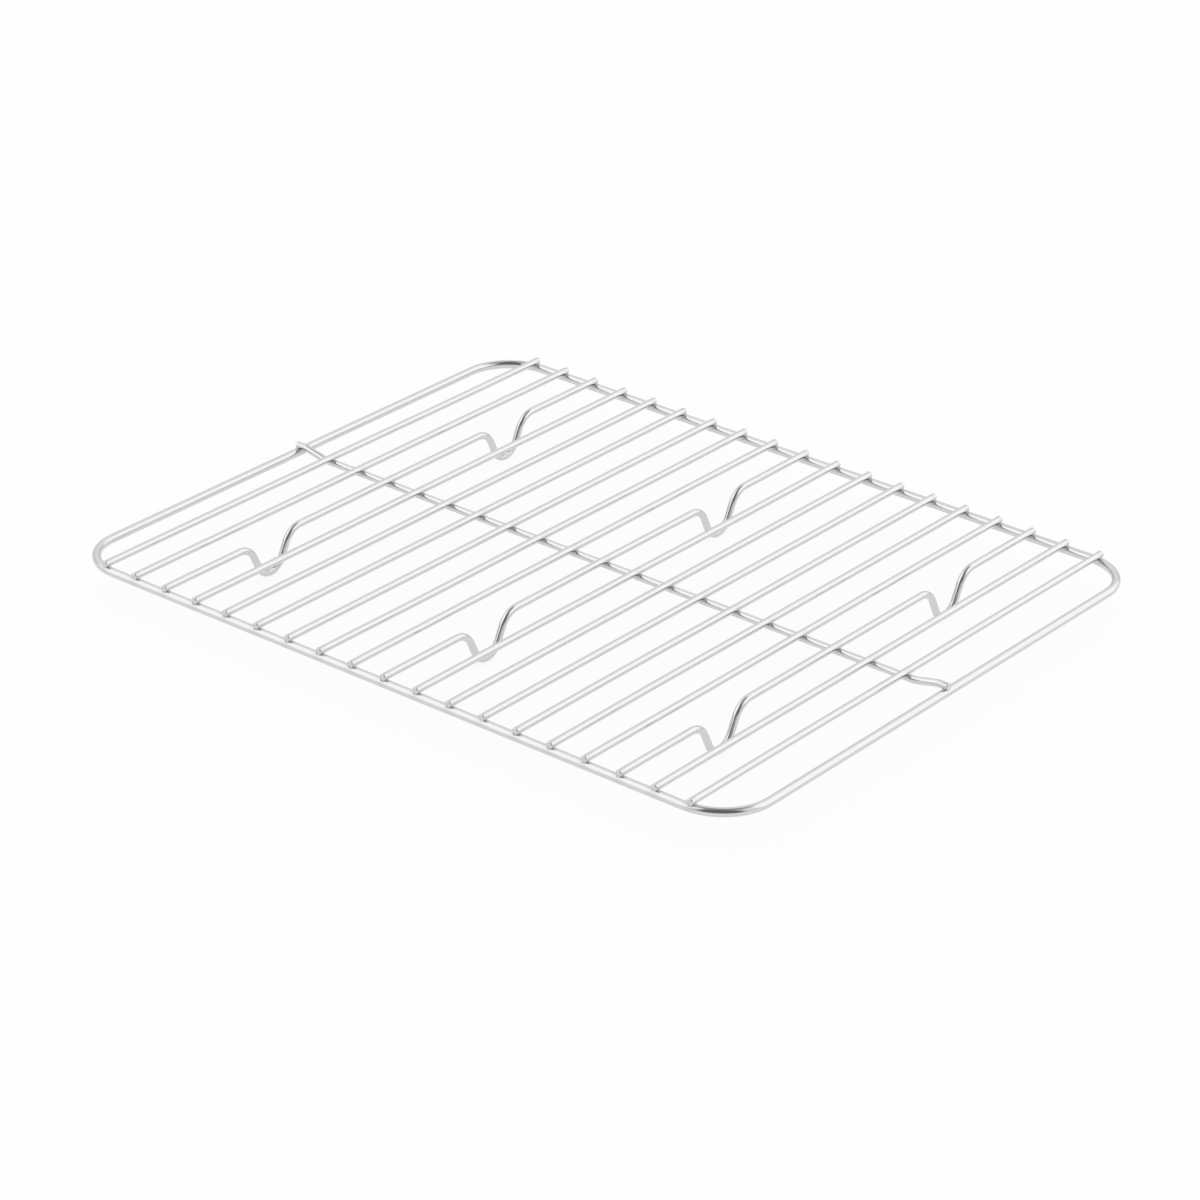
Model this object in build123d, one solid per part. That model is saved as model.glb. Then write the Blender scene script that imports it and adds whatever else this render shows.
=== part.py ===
from build123d import *
import math
import os

# Food pan wire grate, resistance welded from round steel wire and chrome plated, in millimetres.
# The origin lies under the middle of the grate, on the plane that its feet stand on.
# X runs along the frame's long side, Y along the grate wires and Z up.

# Wire diameters, and the flats that stand for a round section, with one on top
frame_wire = 2.8
grate_wire = 2.3
brace_wire = 2.3
section_flats = 12

# Where wires cross, the weld has let the upper one down into the lower one by this much
weld_set_down = 0.5

# Frame: outside length and width, and the bend radius of the wire's centre line at the corners
frame_length = 254.0
frame_width = 205.0
frame_corner = 16.8

# Grate wires: their spacing, and the least distance from the frame's ends to the outermost ones
wire_pitch = 12.4
field_margin = 14.5

# Cut ends: how far they stop short of the frame's outer edge, and their broken edge
end_inset = 0.5
end_chamfer = 0.25

# Feet: each is a V bent down in a grate wire, two to a wire, in the middle wire and one near each end
foot_spread = 55.8  # from the middle line to each foot
foot_drop = 11.5  # how far the wire's centre line goes down
foot_leg_angle = 64.0  # degrees from level
foot_toe_radius = 5.6  # bend radii are those of the centre line
foot_shoulder_radius = 7.0
foot_wire_from_end = 3  # counted from each end of the field

# Brace: its ends rise onto the frame's short sides
joggle_clear = 3.0  # from the outermost grate wire to the start of the rise
joggle_landing = 2.8  # from the end of the rise to the frame's centre line
joggle_bend_radius = 8.0

# Heights of the centre lines above the feet's plane
grate_z = foot_drop + grate_wire / 2
frame_z = grate_z - (frame_wire + grate_wire) / 2 + weld_set_down
brace_z = grate_z - (brace_wire + grate_wire) / 2 + weld_set_down
brace_end_z = frame_z + (frame_wire + brace_wire) / 2 - weld_set_down

# The frame's centre line, the wires in the field and where they end
frame_x = (frame_length - frame_wire) / 2
frame_y = (frame_width - frame_wire) / 2
wires_each_side = int((frame_length / 2 - field_margin) // wire_pitch)
wire_count = 2 * wires_each_side + 1
outer_wire_x = wires_each_side * wire_pitch
wire_end_y = frame_width / 2 - end_inset
brace_end_x = frame_length / 2 - end_inset
footed_numbers = (foot_wire_from_end, wires_each_side + 1, wire_count + 1 - foot_wire_from_end)


def bent_line(points, radii):
    # A centre line through the points, with an arc of its own radius at each inner point.
    edges = []
    start = Vector(points[0])
    for before, corner, after, radius in zip(points, points[1:], points[2:], radii):
        corner = Vector(corner)
        arriving = (corner - Vector(before)).normalized()
        leaving = (Vector(after) - corner).normalized()
        turn = math.radians(arriving.get_angle(leaving))
        reach = radius * math.tan(turn / 2)
        arc_start = corner - arriving * reach
        arc_end = corner + leaving * reach
        edges.append(Line(start, arc_start))
        edges.append(TangentArc(arc_start, arc_end, tangent=arriving))
        start = arc_end
    edges.append(Line(start, Vector(points[-1])))
    return Wire(edges)


def round_wire(path, diameter):
    # Wire along a centre line that starts level, with a flat of its section on top.
    level = Vector(0, 0, 1).cross(path % 0)
    start = Plane(origin=path @ 0, x_dir=level, z_dir=path % 0)
    flat_on_top = 90 - 180 / section_flats
    section = RegularPolygon(diameter / 2, section_flats, major_radius=False, rotation=flat_on_top)
    return sweep(start * section, path=path)


def cut_wire(path, diameter):
    # Wire with a broken edge at both cut ends.
    wire = round_wire(path, diameter)
    ends = [wire.faces().sort_by_distance(path @ place)[0] for place in (0, 1)]
    return chamfer(ends[0].edges() + ends[1].edges(), end_chamfer)


def make_frame():
    # One wire bent round into a closed rectangle with rounded corners.
    outline = RectangleRounded(2 * frame_x, 2 * frame_y, frame_corner)
    path = Pos(0, 0, frame_z) * outline.face().outer_wire()
    return round_wire(path, frame_wire)


def make_brace():
    # The wire under the middle of the field, with both ends lifted onto the frame.
    rise_start = outer_wire_x + joggle_clear
    rise_end = frame_x - joggle_landing
    half = [(rise_start, 0, brace_z), (rise_end, 0, brace_end_z), (brace_end_x, 0, brace_end_z)]
    other_half = [(-x, y, z) for x, y, z in reversed(half)]
    path = bent_line(other_half + half, [joggle_bend_radius] * 4)
    return cut_wire(path, brace_wire)


def foot_points(middle):
    # A foot's shoulder, sharp tip and shoulder, before the bends, about its middle along Y.
    lean = math.radians(foot_leg_angle)
    tip_drop = foot_drop + foot_toe_radius * (1 / math.cos(lean) - 1)
    half_opening = tip_drop / math.tan(lean)
    return [
        (middle - half_opening, grate_z),
        (middle, grate_z - tip_drop),
        (middle + half_opening, grate_z),
    ]


def make_grate_wire(x, footed):
    # A wire across the field, lying on the frame's long sides and on the brace.
    profile = [(-wire_end_y, grate_z), (wire_end_y, grate_z)]
    radii = []
    if footed:
        profile[1:1] = foot_points(-foot_spread) + foot_points(foot_spread)
        radii = [foot_shoulder_radius, foot_toe_radius, foot_shoulder_radius] * 2
    path = bent_line([(x, y, z) for y, z in profile], radii)
    return cut_wire(path, grate_wire)


def build():
    # The upper wire of each crossing has a seat cut in its underside by the wire below it.
    frame = make_frame()
    brace = make_brace() - frame
    nodes = {"frame_ring": frame, "brace_wire": brace}
    for number in range(1, wire_count + 1):
        footed = number in footed_numbers
        name = f"footed_wire_{number:02d}" if footed else f"grate_wire_{number:02d}"
        x = (number - 1 - wires_each_side) * wire_pitch
        nodes[name] = make_grate_wire(x, footed) - frame - brace
    return nodes


os.makedirs("parts", exist_ok=True)
for name, piece in build().items():
    export_step(piece, f"parts/{name}.step")
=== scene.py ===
import math
import bpy
import numpy as np
from mathutils import Matrix, Vector


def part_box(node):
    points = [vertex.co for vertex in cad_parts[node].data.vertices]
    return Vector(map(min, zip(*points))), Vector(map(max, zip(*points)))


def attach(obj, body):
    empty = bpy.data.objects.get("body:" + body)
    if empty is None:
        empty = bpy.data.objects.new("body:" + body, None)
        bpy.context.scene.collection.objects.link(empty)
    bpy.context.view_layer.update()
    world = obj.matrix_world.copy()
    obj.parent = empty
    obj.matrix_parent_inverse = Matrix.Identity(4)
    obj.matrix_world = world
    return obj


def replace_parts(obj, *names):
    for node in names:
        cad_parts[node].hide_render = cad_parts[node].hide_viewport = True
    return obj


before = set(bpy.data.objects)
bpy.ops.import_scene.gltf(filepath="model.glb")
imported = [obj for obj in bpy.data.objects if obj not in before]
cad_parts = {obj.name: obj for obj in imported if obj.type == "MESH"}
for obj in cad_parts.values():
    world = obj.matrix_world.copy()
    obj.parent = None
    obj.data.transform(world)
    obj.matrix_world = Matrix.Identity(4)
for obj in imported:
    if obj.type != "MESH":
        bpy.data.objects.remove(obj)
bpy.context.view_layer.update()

mm = 0.001
randomSeed = 19
rng = np.random.default_rng(randomSeed)
print("frame loaded:", len(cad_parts), "wires")


def bentPath(corners, radii, runStep=3.0, arcStep=4.0):
    # A line through the corners, in mm. Each run is cut into equal steps of runStep or less.
    # At an inner corner an arc touches both runs: it starts radius * tan(turn / 2) before the corner,
    # and its points are centre + radius * (sin a * run - cos a * inward).
    # There a goes from 0 to the turn by arcStep degrees or less.
    corners = np.asarray(corners, float)
    points, tangents = [], []
    start = corners[0]
    for k in range(1, len(corners)):
        run = (corners[k] - corners[k - 1]) / np.linalg.norm(corners[k] - corners[k - 1])
        last = k == len(corners) - 1
        stop = corners[k]
        if not last:
            leave = (corners[k + 1] - corners[k]) / np.linalg.norm(corners[k + 1] - corners[k])
            turn = math.acos(run @ leave)
            reach = radii[k - 1] * math.tan(turn / 2)
            stop = corners[k] - run * reach
        count = int(np.linalg.norm(stop - start) / runStep) + 2
        share = np.linspace(0, 1, count)[:, None]
        share = share if last else share[:-1]
        points.append(start + (stop - start) * share)
        tangents.append(np.tile(run, (len(share), 1)))
        if not last:
            inward = leave - run * (run @ leave)
            inward = inward / np.linalg.norm(inward)
            a = np.linspace(0, turn, int(math.degrees(turn) / arcStep) + 2)[:-1, None]
            centre = stop + inward * radii[k - 1]
            points.append(centre + radii[k - 1] * (np.sin(a) * run - np.cos(a) * inward))
            tangents.append(np.cos(a) * run + np.sin(a) * inward)
            start = corners[k] + leave * reach
    return np.concatenate(points), np.concatenate(tangents)


# depths in mm from the end of the wire; ring sizes as shares of the face inside its rounded edge
cutEnd = {"ringDepths": [0.0, 0.015], "ringSizes": [0.4, 0.8], "dome": 0.04, "edgeSteps": 6}


def shearedEnds(points, tangents, radius, edge):
    # Stations of a cut end: rings on a faintly domed face, then a quarter circle round its edge, where
    # size = radius - edge * (1 - sin a) and depth = dome + edge * (1 - cos a).
    # The other end is the same, reversed.
    a = np.linspace(0, math.pi / 2, cutEnd["edgeSteps"])
    depth = np.concatenate([cutEnd["ringDepths"], cutEnd["dome"] + edge * (1 - np.cos(a))])
    size = np.concatenate([np.array(cutEnd["ringSizes"]) * (radius - edge), radius - edge * (1 - np.sin(a))])
    head = points[0] + tangents[0] * depth[:, None]
    tail = points[-1] - tangents[-1] * depth[::-1, None]
    stations = len(depth)
    turned = [np.repeat(tangents[:1], stations, 0), tangents[1:-1], np.repeat(tangents[-1:], stations, 0)]
    sizes = [size, np.full(len(points) - 2, radius), size[::-1]]
    return np.concatenate([head, points[1:-1], tail]), np.concatenate(turned), np.concatenate(sizes)


def carryCircle(points, tangents, sizes, side, count=40):
    # A circle carried along the line: point + size * (cos v * side + sin v * (tangent x side)),
    # where side is the direction that stays square to the whole line.
    v = np.linspace(0, 2 * math.pi, count, endpoint=False)[None, :, None]
    side = np.asarray(side, float)
    across = np.cross(tangents, side)[:, None, :]
    return points[:, None, :] + np.asarray(sizes)[:, None, None] * (np.cos(v) * side + np.sin(v) * across)


def addPiece(name, verts, quads, caps, uv, finish):
    mesh = bpy.data.meshes.new(name)
    # worked out in mm, kept in metres
    mesh.from_pydata((verts * mm).tolist(), [], quads.tolist() + caps.tolist())
    mesh.uv_layers.new(name="alongWire").uv.foreach_set("vector", uv.astype(np.float32).ravel())
    mesh.polygons.foreach_set("use_smooth", np.ones(len(quads) + len(caps), bool))
    mesh.materials.append(finish)
    mesh.update()
    piece = bpy.data.objects.new(name, mesh)
    bpy.context.scene.collection.objects.link(piece)
    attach(piece, "root")
    return piece


def wirePiece(name, grid, radius, closed, finish):
    # Stations by points round the wire become quads. A closed line joins its last station to its first,
    # and an open one ends in a pole at each end.
    # The map holds the length along the wire and the way round it, in mm.
    rows, count = grid.shape[:2]
    middles = grid.mean(1)
    middles = np.concatenate([middles, middles[:1]]) if closed else middles
    length = np.concatenate([[0.0], np.cumsum(np.linalg.norm(np.diff(middles, axis=0), axis=1))])
    i, j = np.meshgrid(np.arange(len(length) - 1), np.arange(count), indexing="ij")
    di, dj = np.array([0, 0, 1, 1]), np.array([0, 1, 1, 0])
    row, column = i[..., None] + di, j[..., None] + dj
    quads = ((row % rows) * count + column % count).reshape(-1, 4)
    uv = np.stack([length[row], column * 2 * math.pi * radius / count], -1).reshape(-1, 2)
    verts, caps = grid.reshape(-1, 3), np.zeros((0, 3), int)
    if not closed:
        b = np.arange(count)
        first = np.stack([np.full(count, rows * count), (b + 1) % count, b], -1)
        final = np.stack([np.full(count, rows * count + 1), b, (b + 1) % count], -1)
        final[:, 1:] += (rows - 1) * count
        verts, caps = np.concatenate([verts, middles[:1], middles[-1:]]), np.concatenate([first, final])
        v = np.repeat(b * 2 * math.pi * radius / count, 3)
        uv = np.concatenate([uv, np.stack([0 * v, v], -1), np.stack([0 * v + length[-1], v], -1)])
    return addPiece(name, verts, quads, caps, uv, finish)


def wireFacts(node):
    # low corner, high corner and middle of the node's box, in mm
    low, high = (np.array(c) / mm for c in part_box(node))
    return low, high, (low + high) / 2


def newGroup(name, inputs, outputs):
    group = bpy.data.node_groups.new(name, "ShaderNodeTree")
    for label, kind in inputs:
        group.interface.new_socket(label, in_out="INPUT", socket_type="NodeSocket" + kind)
    for label in outputs:
        group.interface.new_socket(label, in_out="OUTPUT", socket_type="NodeSocketFloat")
    return group, group.nodes.new("NodeGroupInput").outputs, group.nodes.new("NodeGroupOutput").inputs


def addNode(tree, kind, inputs, **settings):
    made = tree.nodes.new("ShaderNode" + kind)
    for key, value in settings.items():
        setattr(made, key, value)
    for key, value in inputs.items():
        if isinstance(value, bpy.types.NodeSocket):
            tree.links.new(value, made.inputs[key])
        else:
            made.inputs[key].default_value = value
    return made


def sums(tree, operation, *values, clamp=False):
    return addNode(tree, "Math", dict(enumerate(values)), operation=operation, use_clamp=clamp).outputs[0]


def ramp(tree, value, start, stop):
    # a smooth step from 0 at start to 1 at stop
    limits = {"Value": value, "From Min": start, "From Max": stop}
    return addNode(tree, "MapRange", limits, interpolation_type="SMOOTHSTEP").outputs[0]


def mixColours(tree, share, first, second):
    # 0, 6, 7 and 2 are the places of the Mix node's share and colour sockets
    return addNode(tree, "Mix", {0: share, 6: first, 7: second}, data_type="RGBA").outputs[2]


def makeDieLines():
    # lines left by the drawing die: noise stretched along the wire and fine round it
    inputs = [("Map", "Vector"), ("Lines per mm", "Float"), ("Runs per mm", "Float")]
    group, into, out = newGroup("dieLines", inputs, ["Height"])
    split = addNode(group, "SeparateXYZ", {0: into["Map"]}).outputs
    along = sums(group, "MULTIPLY", split[0], into["Runs per mm"])
    across = sums(group, "MULTIPLY", split[1], into["Lines per mm"])
    place = addNode(group, "CombineXYZ", {0: along, 1: across}).outputs[0]
    noise = addNode(group, "TexNoise", {"Vector": place, "Scale": 1.0, "Detail": 2.0})
    group.links.new(noise.outputs[0], out["Height"])
    return group


def makePlating():
    # uneven plating: broad clouds in the gloss, a faint orange peel, and pits where a cell's middle is near
    inputs = [("Place", "Vector"), ("Clouds per m", "Float"), ("Peel per m", "Float")]
    inputs += [("Pits per m", "Float"), ("Pit size", "Float")]
    group, into, out = newGroup("unevenPlating", inputs, ["Clouds", "Peel", "Pits"])
    place = into["Place"]
    clouds = addNode(group, "TexNoise", {"Vector": place, "Scale": into["Clouds per m"], "Detail": 3.0})
    peel = addNode(group, "TexNoise", {"Vector": place, "Scale": into["Peel per m"], "Detail": 1.0})
    cells = addNode(group, "TexVoronoi", {"Vector": place, "Scale": into["Pits per m"]})
    near = sums(group, "DIVIDE", cells.outputs["Distance"], into["Pit size"], clamp=True)
    group.links.new(clouds.outputs[0], out["Clouds"])
    group.links.new(peel.outputs[0], out["Peel"])
    group.links.new(sums(group, "SUBTRACT", 1.0, near), out["Pits"])
    return group


def makeWeldHaze():
    # distance to the nearest crossing, as wires repeat along X and rows of welds along Y
    # the mask is 1 within a share of the reach, the core, and 0 past the reach
    core = 0.3
    inputs = [("Place", "Vector"), ("Pitch", "Float"), ("Row gap", "Float")]
    inputs += [("Level", "Float"), ("Reach", "Float")]
    group, into, out = newGroup("weldHaze", inputs, ["Mask"])
    split = addNode(group, "SeparateXYZ", {0: into["Place"]}).outputs
    offX = sums(group, "PINGPONG", split[0], sums(group, "MULTIPLY", into["Pitch"], 0.5))
    offY = sums(group, "PINGPONG", split[1], sums(group, "MULTIPLY", into["Row gap"], 0.5))
    offZ = sums(group, "SUBTRACT", split[2], into["Level"])
    offset = addNode(group, "CombineXYZ", {0: offX, 1: offY, 2: offZ}).outputs[0]
    away = addNode(group, "VectorMath", {0: offset}, operation="LENGTH").outputs["Value"]
    share = sums(group, "DIVIDE", away, into["Reach"])
    group.links.new(ramp(group, share, 1.0, core), out["Mask"])
    return group


wireChrome = {
    "tone": (0.67, 0.671, 0.675, 1), "hazeTone": (0.625, 0.625, 0.628, 1), "pitTone": (0.48, 0.48, 0.482, 1),
    "gloss": 0.07, "cloudGloss": 0.07, "weldGloss": 0.10, "weldReach": 3.4 * mm,
    "lines": 5.0, "runs": 0.02, "lineDepth": 0.004 * mm,
    "clouds": 90.0, "peel": 500.0, "peelDepth": 0.006 * mm,
    "pits": 800.0, "pitSize": 0.12, "pitDepth": 0.01 * mm,
}
weldChrome = dict(wireChrome, tone=(0.605, 0.605, 0.608, 1), gloss=0.14, cloudGloss=0.12,
                  lines=1.5, runs=1.5, lineDepth=0.03 * mm,
                  clouds=350.0, peel=1500.0, pits=2000.0, pitSize=0.25)
dieLines, unevenPlating, weldHaze = makeDieLines(), makePlating(), makeWeldHaze()


def chromeFinish(name, facts, pitch, rowGap, level):
    # Gloss follows the plating's clouds and is duller round the welds.
    # Die lines, peel and pits are in the bump.
    finish = bpy.data.materials.new(name)
    finish.use_nodes = True
    tree = finish.node_tree
    shader = tree.nodes["Principled BSDF"]
    place = addNode(tree, "TexCoord", {}).outputs
    lines = addNode(tree, "Group", {}, node_tree=dieLines)
    plating = addNode(tree, "Group", {}, node_tree=unevenPlating)
    haze = addNode(tree, "Group", {}, node_tree=weldHaze)
    tree.links.new(place["UV"], lines.inputs["Map"])
    tree.links.new(place["Object"], plating.inputs["Place"])
    tree.links.new(place["Object"], haze.inputs["Place"])
    lines.inputs["Lines per mm"].default_value = facts["lines"]
    lines.inputs["Runs per mm"].default_value = facts["runs"]
    plating.inputs["Clouds per m"].default_value = facts["clouds"]
    plating.inputs["Peel per m"].default_value = facts["peel"]
    plating.inputs["Pits per m"].default_value = facts["pits"]
    plating.inputs["Pit size"].default_value = facts["pitSize"]
    haze.inputs["Pitch"].default_value = pitch
    haze.inputs["Row gap"].default_value = rowGap
    haze.inputs["Level"].default_value = level
    haze.inputs["Reach"].default_value = facts["weldReach"]
    hazy = mixColours(tree, haze.outputs["Mask"], facts["tone"], facts["hazeTone"])
    pitted = mixColours(tree, plating.outputs["Pits"], hazy, facts["pitTone"])
    cloudy = sums(tree, "MULTIPLY_ADD", plating.outputs["Clouds"], facts["cloudGloss"], facts["gloss"])
    dull = sums(tree, "MULTIPLY_ADD", haze.outputs["Mask"], facts["weldGloss"], cloudy)
    ridges = sums(tree, "MULTIPLY", lines.outputs["Height"], facts["lineDepth"])
    waves = sums(tree, "MULTIPLY_ADD", plating.outputs["Peel"], facts["peelDepth"], ridges)
    height = sums(tree, "MULTIPLY_ADD", plating.outputs["Pits"], -facts["pitDepth"], waves)
    bump = addNode(tree, "Bump", {"Height": height, "Distance": 1.0, "Strength": 1.0})
    tree.links.new(pitted, shader.inputs["Base Color"])
    tree.links.new(dull, shader.inputs["Roughness"])
    tree.links.new(bump.outputs[0], shader.inputs["Normal"])
    shader.inputs["Metallic"].default_value = 1.0
    return finish


ring = {"corner": 16.8, "side": (0, 0, 1)}
ringLow, ringHigh, _ = wireFacts("frame_ring")
ringRadius = (ringHigh[2] - ringLow[2]) / 2
ringX, ringY = ringHigh[0] - ringRadius, ringHigh[1] - ringRadius
ringZ = ringLow[2] + ringRadius
wireNodes = [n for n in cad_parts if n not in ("frame_ring", "brace_wire")]
wireNodes = sorted(wireNodes, key=lambda n: wireFacts(n)[2][0])
wireX = np.array([wireFacts(n)[2][0] for n in wireNodes])
pitch = float(np.diff(wireX).mean())
setDown = ringHigh[2] - wireFacts(wireNodes[0])[0][2]  # how far the welds let the grate wires into the frame
contactZ = ringHigh[2] - setDown / 2
brightWire = chromeFinish("bright_chrome_wire", wireChrome, pitch * mm, ringY * mm, contactZ * mm)
dullWeld = chromeFinish("dull_chrome_weld", weldChrome, pitch * mm, ringY * mm, contactZ * mm)
print("finishes made; wires", round(pitch, 3), "mm apart")

frontMiddle = (0, -ringY, ringZ)  # the line starts and ends here
corners = [frontMiddle, (ringX, -ringY, ringZ), (ringX, ringY, ringZ)]
corners += [(-ringX, ringY, ringZ), (-ringX, -ringY, ringZ), frontMiddle]
points, tangents = bentPath(corners, [ring["corner"]] * 4)
grid = carryCircle(points[:-1], tangents[:-1], np.full(len(points) - 1, ringRadius), ring["side"])
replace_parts(wirePiece("plated_frame_ring", grid, ringRadius, True, brightWire), "frame_ring")
print("frame ring made")

brace = {"clear": 3.0, "landing": 2.8, "bend": 8.0, "edge": 0.3, "side": (0, 1, 0)}
low, high, _ = wireFacts("brace_wire")
braceRadius = (high[1] - low[1]) / 2
riseStart, riseEnd = wireX.max() + brace["clear"], ringX - brace["landing"]
lowZ, topZ = low[2] + braceRadius, high[2] - braceRadius
half = [(riseStart, 0, lowZ), (riseEnd, 0, topZ), (high[0], 0, topZ)]
corners = [(-x, y, z) for x, y, z in half[::-1]] + half
points, tangents, sizes = shearedEnds(*bentPath(corners, [brace["bend"]] * 4), braceRadius, brace["edge"])
grid = carryCircle(points, tangents, sizes, brace["side"])
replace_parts(wirePiece("plated_brace_wire", grid, braceRadius, False, brightWire), "brace_wire")
print("brace made")

grate = {
    "footSpread": 55.8, "legAngle": 64.0, "toe": 5.6, "shoulder": 7.0,
    "edge": 0.3, "bow": 0.12, "side": (1, 0, 0),
}


def footCorners(middle, top, drop):
    # shoulder, sharp tip, shoulder
    # the tip lies below the toe by what the arc cuts off, toe * (1 / cos angle - 1)
    lean = math.radians(grate["legAngle"])
    tip = drop + grate["toe"] * (1 / math.cos(lean) - 1)
    wide = tip / math.tan(lean)
    return [(middle - wide, top), (middle, top - tip), (middle + wide, top)]


for node, x in zip(wireNodes, wireX):
    low, high, _ = wireFacts(node)
    radius = (high[0] - low[0]) / 2
    top = high[2] - radius
    drop = high[2] - low[2] - 2 * radius
    line = [(low[1], top), (high[1], top)]
    bends = []
    if drop > radius:
        footY = grate["footSpread"]
        line[1:1] = footCorners(-footY, top, drop) + footCorners(footY, top, drop)
        bends = [grate["shoulder"], grate["toe"], grate["shoulder"]] * 2
    points, tangents = bentPath([(x, y, z) for y, z in line], bends)
    # no wire is dead straight between its welds: x moves by bow * sin squared of the way between them
    bow = np.where(points[:, 1] < 0, *rng.normal(0, grate["bow"], 2))
    points[:, 0] += bow * np.sin(math.pi * points[:, 1] / ringY) ** 2
    points, tangents, sizes = shearedEnds(points, tangents, radius, grate["edge"])
    grid = carryCircle(points, tangents, sizes, grate["side"])
    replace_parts(wirePiece("plated_" + node, grid, radius, False, brightWire), node)
print("grate wires made:", len(wireNodes))

weld = {
    "spread": 1.25, "share": 0.84, "hollow": 0.10, "sink": 0.05, "depth": 0.4, "uneven": 0.06,
    "sides": 36, "rows": 9, "power": 6,
}
grateRadius = radius  # all grate wires are alike


def weldNuggets(places, upper, lower, upAngle, lowAngle):
    # One closed body at each crossing. Going round by angle t, the weld has spread to rho, where
    # rho ** -power is the sum of spread ** -power and, for each wire,
    # (|sin(t - its angle)| / (share * its radius)) ** power.
    # The upper wire's face is R - sqrt(R^2 - across^2) - setDown / 2 over the level there, and the lower
    # wire's is as far under it. The weld sinks a little further into both.
    # Between them its side is hollow: rho - hollow * sin(pi * s), with s from 0 to 1.
    def cell(values):
        return np.asarray(values, float)[:, None, None]

    power = weld["power"]
    t = np.linspace(0, 2 * math.pi, weld["sides"], endpoint=False)[None, None, :]
    s = np.linspace(0, 1, weld["rows"])[None, :, None]
    wobble = rng.normal(0, weld["uneven"], (len(places), 4))  # the last of the four draws has no use
    spread = 1 + cell(wobble[:, 0]) + cell(wobble[:, 1]) * np.cos(2 * t) + cell(wobble[:, 2]) * np.sin(3 * t)
    spread = weld["spread"] * spread
    upAcross = np.abs(np.sin(t - cell(upAngle)))
    lowAcross = np.abs(np.sin(t - cell(lowAngle)))
    upLimit = (upAcross / (weld["share"] * cell(upper))) ** power
    lowLimit = (lowAcross / (weld["share"] * cell(lower))) ** power
    rho = (spread ** -power + upLimit + lowLimit) ** (-1 / power)
    up = cell(upper) - np.sqrt(cell(upper) ** 2 - (rho * upAcross) ** 2) - setDown / 2 + weld["sink"]
    down = cell(lower) - np.sqrt(cell(lower) ** 2 - (rho * lowAcross) ** 2) - setDown / 2 + weld["sink"]
    height = -down + (up + down) * s
    reach = rho - weld["hollow"] * np.sin(math.pi * s) * np.ones_like(t)
    x = cell(places[:, 0]) + reach * np.cos(t)
    y = cell(places[:, 1]) + reach * np.sin(t)
    z = cell(places[:, 2]) + height
    return np.stack([x, y, z], -1)


def weldPiece(name, grids, finish):
    # Each body's rings become quads, and a pole inside each wire closes it.
    bodies, rows, count = grids.shape[:3]
    step = rows * count + 2
    i, j = np.meshgrid(np.arange(rows - 1), np.arange(count), indexing="ij")
    row = i[..., None] + np.array([0, 0, 1, 1])
    column = (j[..., None] + np.array([0, 1, 1, 0])) % count
    quads = (row * count + column).reshape(-1, 4)
    b = np.arange(count)
    following = (b + 1) % count
    lastRow = (rows - 1) * count
    foot = np.stack([np.full(count, step - 2), following, b], -1)
    head = np.stack([np.full(count, step - 1), lastRow + b, lastRow + following], -1)
    inward = [0, 0, weld["depth"]]
    poles = np.stack([grids[:, 0].mean(1) - inward, grids[:, -1].mean(1) + inward], 1)
    verts = np.concatenate([grids.reshape(bodies, -1, 3), poles], 1).reshape(-1, 3)
    shift = (np.arange(bodies) * step)[:, None, None]
    quads = (quads + shift).reshape(-1, 4)
    caps = (np.concatenate([foot, head]) + shift).reshape(-1, 3)
    corner = verts[np.concatenate([quads.ravel(), caps.ravel()])]
    uv = np.stack([corner[:, 0] + corner[:, 2], corner[:, 1]], -1)
    return addPiece(name, verts, quads, caps, uv, finish)


# the outermost wires cross the frame where its corners have begun to turn
past = np.clip(np.abs(wireX) - (ringX - ring["corner"]), 0, None)
crossY = ringY - ring["corner"] + np.sqrt(ring["corner"] ** 2 - past ** 2)
skew = np.sign(wireX) * np.arcsin(past / ring["corner"])
zero = 0 * wireX
places = np.concatenate([
    np.stack([wireX, -crossY, zero + contactZ], -1), np.stack([wireX, crossY, zero + contactZ], -1),
    np.stack([wireX, zero, zero + contactZ], -1), [[-ringX, 0, contactZ], [ringX, 0, contactZ]]])
onFrame, onBrace = 2 * len(wireX), len(wireX)  # crossings of the grate wires
upper = np.concatenate([np.full(onFrame + onBrace, grateRadius), [braceRadius] * 2])
lower = np.concatenate([np.full(onFrame, ringRadius), np.full(onBrace, braceRadius), [ringRadius] * 2])
upAngle = np.concatenate([np.full(onFrame + onBrace, math.pi / 2), [0, 0]])
lowAngle = np.concatenate([skew, -skew, zero, [math.pi / 2] * 2])
weldPiece("weld_nuggets", weldNuggets(places, upper, lower, upAngle, lowAngle), dullWeld)
print("welds made:", len(places))

studio = {
    "floorRadius": 1.6, "floorRings": 24, "floorSides": 96, "floorStart": 0.02, "floorUnder": 0.02 * mm,
    "floorTone": (0.86, 0.86, 0.86, 1), "floorGlow": 0.89, "floorMirror": 0.65, "fill": 0.95,
    "darkSide": (0.622, -0.783, 0.0), "darkFrom": 0.60, "darkTo": 0.88, "darkLevel": 0.17,
    "wallFrom": 0.32, "wallTo": 0.62, "wallShade": 0.3, "wallTop": 0.55,
    "ceilingFrom": 0.82, "ceilingTo": 0.94, "ceilingShade": 0.6,
    "boxDistance": 1.5, "boxGlow": 0.91,
    "boxes": {"right_soft_box": {"toward": (0.57, 0.70, 0.43), "size": 2.2},
              "left_soft_box": {"toward": (-0.52, -0.53, 0.67), "size": 2.0}},
}


def rayKinds(tree):
    # rays from the camera, and rays that a mirror or a glass sends on
    path = addNode(tree, "LightPath", {}).outputs
    return path["Is Camera Ray"], sums(tree, "MAXIMUM", path["Is Glossy Ray"], path["Is Transmission Ray"])


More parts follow.
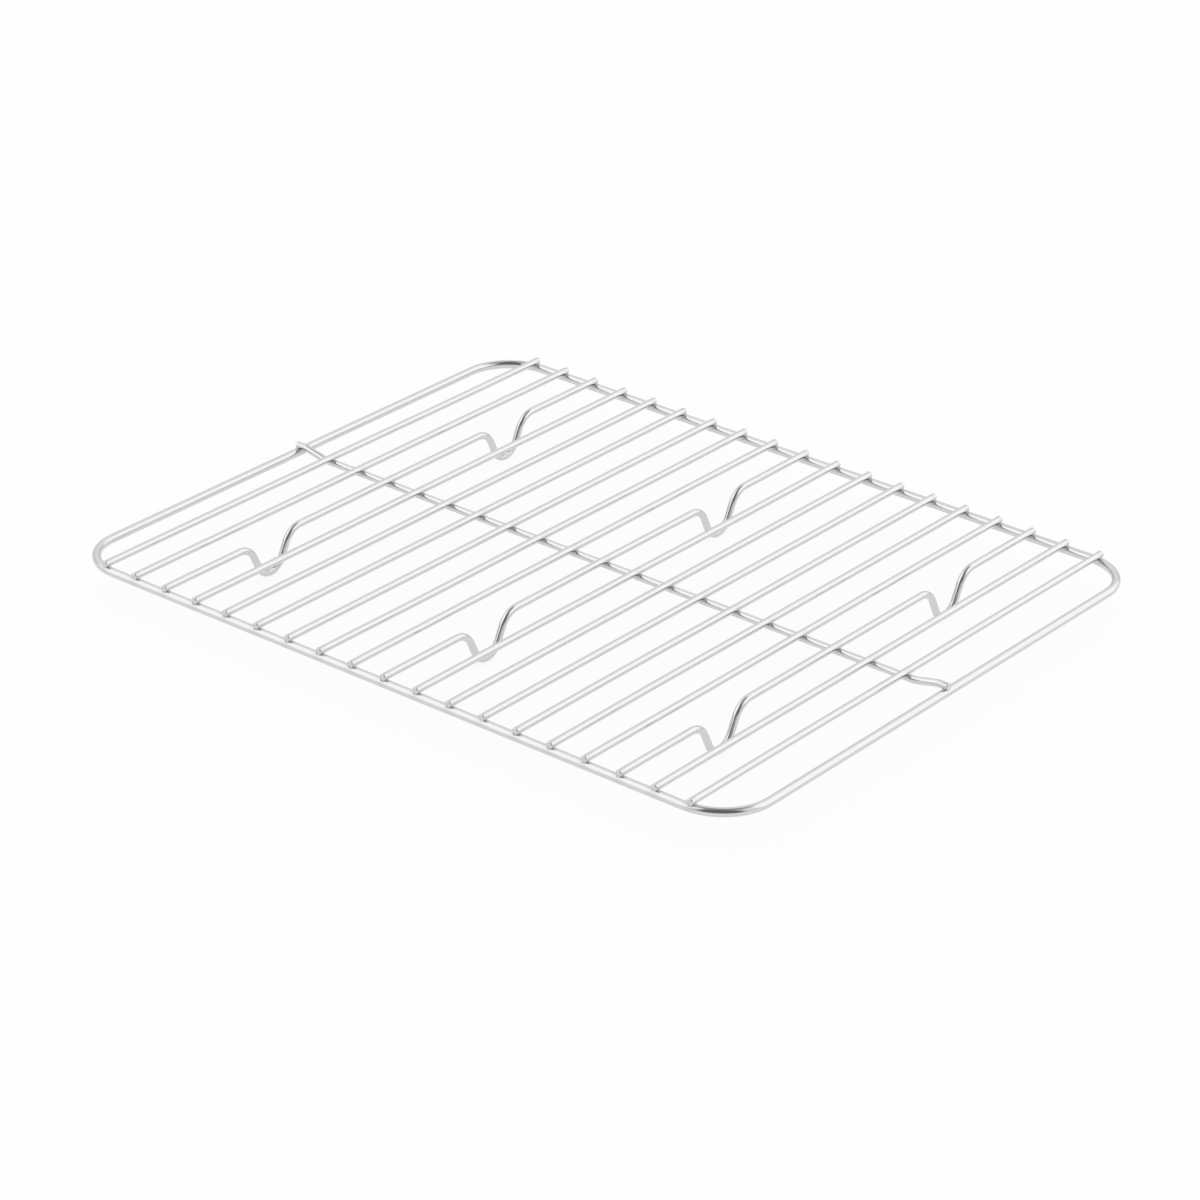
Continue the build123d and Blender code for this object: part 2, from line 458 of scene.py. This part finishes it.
def makeFloor():
    # A disc: x = r * cos a, y = r * sin a, with r growing by squares, just under the toes.
    rings, sides = studio["floorRings"], studio["floorSides"]
    r = studio["floorRadius"] * np.linspace(studio["floorStart"], 1, rings)[:, None] ** 2
    a = np.linspace(0, 2 * math.pi, sides, endpoint=False)[None, :]
    grid = np.stack([r * np.cos(a), r * np.sin(a), 0 * r * a - studio["floorUnder"]], -1)
    i, j = np.meshgrid(np.arange(rings - 1), np.arange(sides), indexing="ij")
    row = i[..., None] + np.array([0, 1, 1, 0])
    column = (j[..., None] + np.array([0, 0, 1, 1])) % sides
    faces = (row * sides + column).reshape(-1, 4).tolist() + [list(range(sides))]
    mesh = bpy.data.meshes.new("pale_floor")
    mesh.from_pydata(grid.reshape(-1, 3).tolist(), [], faces)
    floor = bpy.data.objects.new("pale_floor", mesh)
    bpy.context.scene.collection.objects.link(floor)
    paper = bpy.data.materials.new("pale_paper")
    paper.use_nodes = True
    tree = paper.node_tree
    tree.nodes.clear()
    seen, mirrored = rayKinds(tree)
    matt = addNode(tree, "BsdfDiffuse", {"Color": studio["floorTone"]}).outputs[0]
    glow = addNode(tree, "Emission", {"Color": (1, 1, 1, 1), "Strength": 1.0}).outputs[0]
    shown = sums(tree, "MULTIPLY", seen, studio["floorGlow"])
    share = sums(tree, "MULTIPLY_ADD", mirrored, studio["floorMirror"], shown)
    mixed = addNode(tree, "MixShader", {0: share, 1: matt, 2: glow}).outputs[0]
    addNode(tree, "OutputMaterial", {"Surface": mixed})
    mesh.materials.append(paper)


def makeWorld():
    # White all round. Mirrors see the unlit room on one side, a dark ceiling, and walls beside the lamps
    # that are greyer towards the floor. Scattered light is a soft fill.
    world = bpy.data.worlds.new("white_room")
    bpy.context.scene.world = world
    world.use_nodes = True
    tree = world.node_tree
    tree.nodes.clear()
    seen, mirrored = rayKinds(tree)
    toward = addNode(tree, "TexCoord", {}).outputs["Generated"]
    split = addNode(tree, "SeparateXYZ", {0: toward}).outputs
    level = addNode(tree, "CombineXYZ", {0: split[0], 1: split[1]}).outputs[0]
    level = addNode(tree, "VectorMath", {0: level}, operation="NORMALIZE").outputs[0]
    pair = {0: level, 1: studio["darkSide"]}
    facing = addNode(tree, "VectorMath", pair, operation="DOT_PRODUCT").outputs["Value"]
    wedge = ramp(tree, facing, studio["darkFrom"], studio["darkTo"])
    wedge = sums(tree, "MULTIPLY", wedge, 1 - studio["darkLevel"])
    beside = ramp(tree, sums(tree, "ABSOLUTE", facing), studio["wallFrom"], studio["wallTo"])
    lowDown = ramp(tree, split[2], studio["wallTop"], 0.0)
    wall = sums(tree, "MULTIPLY", sums(tree, "MULTIPLY", beside, lowDown), studio["wallShade"])
    ceiling = ramp(tree, split[2], studio["ceilingFrom"], studio["ceilingTo"])
    ceiling = sums(tree, "MULTIPLY", ceiling, studio["ceilingShade"])
    dark = sums(tree, "MAXIMUM", sums(tree, "MAXIMUM", wedge, wall), ceiling)
    shaded = sums(tree, "SUBTRACT", 1.0, sums(tree, "MULTIPLY", dark, mirrored))
    white = sums(tree, "MAXIMUM", seen, mirrored)
    beyondFill = sums(tree, "SUBTRACT", shaded, studio["fill"])
    strength = sums(tree, "MULTIPLY_ADD", beyondFill, white, studio["fill"])
    glow = addNode(tree, "Background", {"Color": (1, 1, 1, 1), "Strength": strength}).outputs[0]
    addNode(tree, "OutputWorld", {"Surface": glow})


def makeSoftBox(name, box):
    data = bpy.data.lights.new(name, "AREA")
    data.shape = "DISK"
    data.size = box["size"]
    data.energy = studio["boxGlow"] * box["size"] ** 2  # the same brightness whatever the size
    lamp = bpy.data.objects.new(name, data)
    toward = Vector(box["toward"]).normalized()
    lamp.location = toward * studio["boxDistance"]
    lamp.rotation_euler = toward.to_track_quat("Z", "Y").to_euler()
    lamp.visible_camera = False
    bpy.context.scene.collection.objects.link(lamp)


eye = {
    "place": (735.06, -925.64, 593.44), "aim": (15.89, -22.47, 12.65), "roll": 1.086,
    "lens": 130.48, "sensor": 36.0, "clipEnd": 20.0,
}


def makeCamera():
    data = bpy.data.cameras.new("photo_view")
    data.lens = eye["lens"]
    data.sensor_width = eye["sensor"]
    data.clip_end = eye["clipEnd"]
    camera = bpy.data.objects.new("photo_view", data)
    place, aim = Vector(eye["place"]) * mm, Vector(eye["aim"]) * mm
    turn = (aim - place).to_track_quat("-Z", "Y").to_matrix().to_4x4()
    roll = Matrix.Rotation(math.radians(eye["roll"]), 4, "Z")
    camera.matrix_world = Matrix.Translation(place) @ turn @ roll
    bpy.context.scene.collection.objects.link(camera)
    bpy.context.scene.camera = camera


makeFloor()
makeWorld()
for name, box in studio["boxes"].items():
    makeSoftBox(name, box)
makeCamera()
bpy.context.scene.view_settings.view_transform = "Standard"
print("studio and camera set")

bpy.context.view_layer.update()
